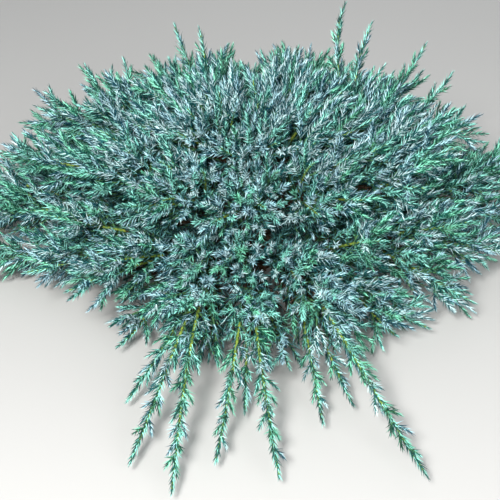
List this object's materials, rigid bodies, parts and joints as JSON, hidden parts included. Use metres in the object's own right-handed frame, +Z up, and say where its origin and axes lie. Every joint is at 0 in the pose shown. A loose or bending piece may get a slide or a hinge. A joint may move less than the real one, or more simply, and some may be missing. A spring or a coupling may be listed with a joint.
{
  "type": "blue carpet flaky juniper",
  "caption": "Low spreading evergreen shrub rooted in the ground: a short hidden stem, tapering boughs and plumes of silvery blue needles with long trailing tips.",
  "frame": {"origin": "centre of the stem's flat cut at ground level", "axes": "+Z up out of the ground, the side that the picture shows towards -Y, its right-hand side towards +X"},
  "size_m": [0.6941, 0.7058, 0.238],
  "materials": {
    "bark": "flaky grey-brown bark",
    "needles": "silvery blue-green needles with a waxy bloom"
  },
  "bodies": {
    "root": {"stem": "bark", "bough_skirt_1": "bark", "foliage_skirt_1": "needles", "bough_skirt_2": "bark", "foliage_skirt_2": "needles", "bough_skirt_3": "bark", "foliage_skirt_3": "needles", "bough_skirt_4": "bark", "foliage_skirt_4": "needles", "bough_skirt_5": "bark", "foliage_skirt_5": "needles", "bough_skirt_6": "bark", "foliage_skirt_6": "needles", "bough_skirt_7": "bark", "foliage_skirt_7": "needles", "bough_skirt_8": "bark", "foliage_skirt_8": "needles", "bough_skirt_9": "bark", "foliage_skirt_9": "needles", "bough_skirt_10": "bark", "foliage_skirt_10": "needles", "bough_skirt_11": "bark", "foliage_skirt_11": "needles", "bough_skirt_12": "bark", "foliage_skirt_12": "needles", "bough_skirt_13": "bark", "foliage_skirt_13": "needles", "bough_skirt_14": "bark", "foliage_skirt_14": "needles", "bough_middle_1": "bark", "foliage_middle_1": "needles", "bough_middle_2": "bark", "foliage_middle_2": "needles", "bough_middle_3": "bark", "foliage_middle_3": "needles", "bough_middle_4": "bark", "foliage_middle_4": "needles", "bough_middle_5": "bark", "foliage_middle_5": "needles", "bough_middle_6": "bark", "foliage_middle_6": "needles", "bough_middle_7": "bark", "foliage_middle_7": "needles", "bough_middle_8": "bark", "foliage_middle_8": "needles", "bough_middle_9": "bark", "foliage_middle_9": "needles", "bough_crown_1": "bark", "foliage_crown_1": "needles", "bough_crown_2": "bark", "foliage_crown_2": "needles", "bough_crown_3": "bark", "foliage_crown_3": "needles", "bough_crown_4": "bark", "foliage_crown_4": "needles", "bough_crown_5": "bark", "foliage_crown_5": "needles"}
  },
  "joints": []
}
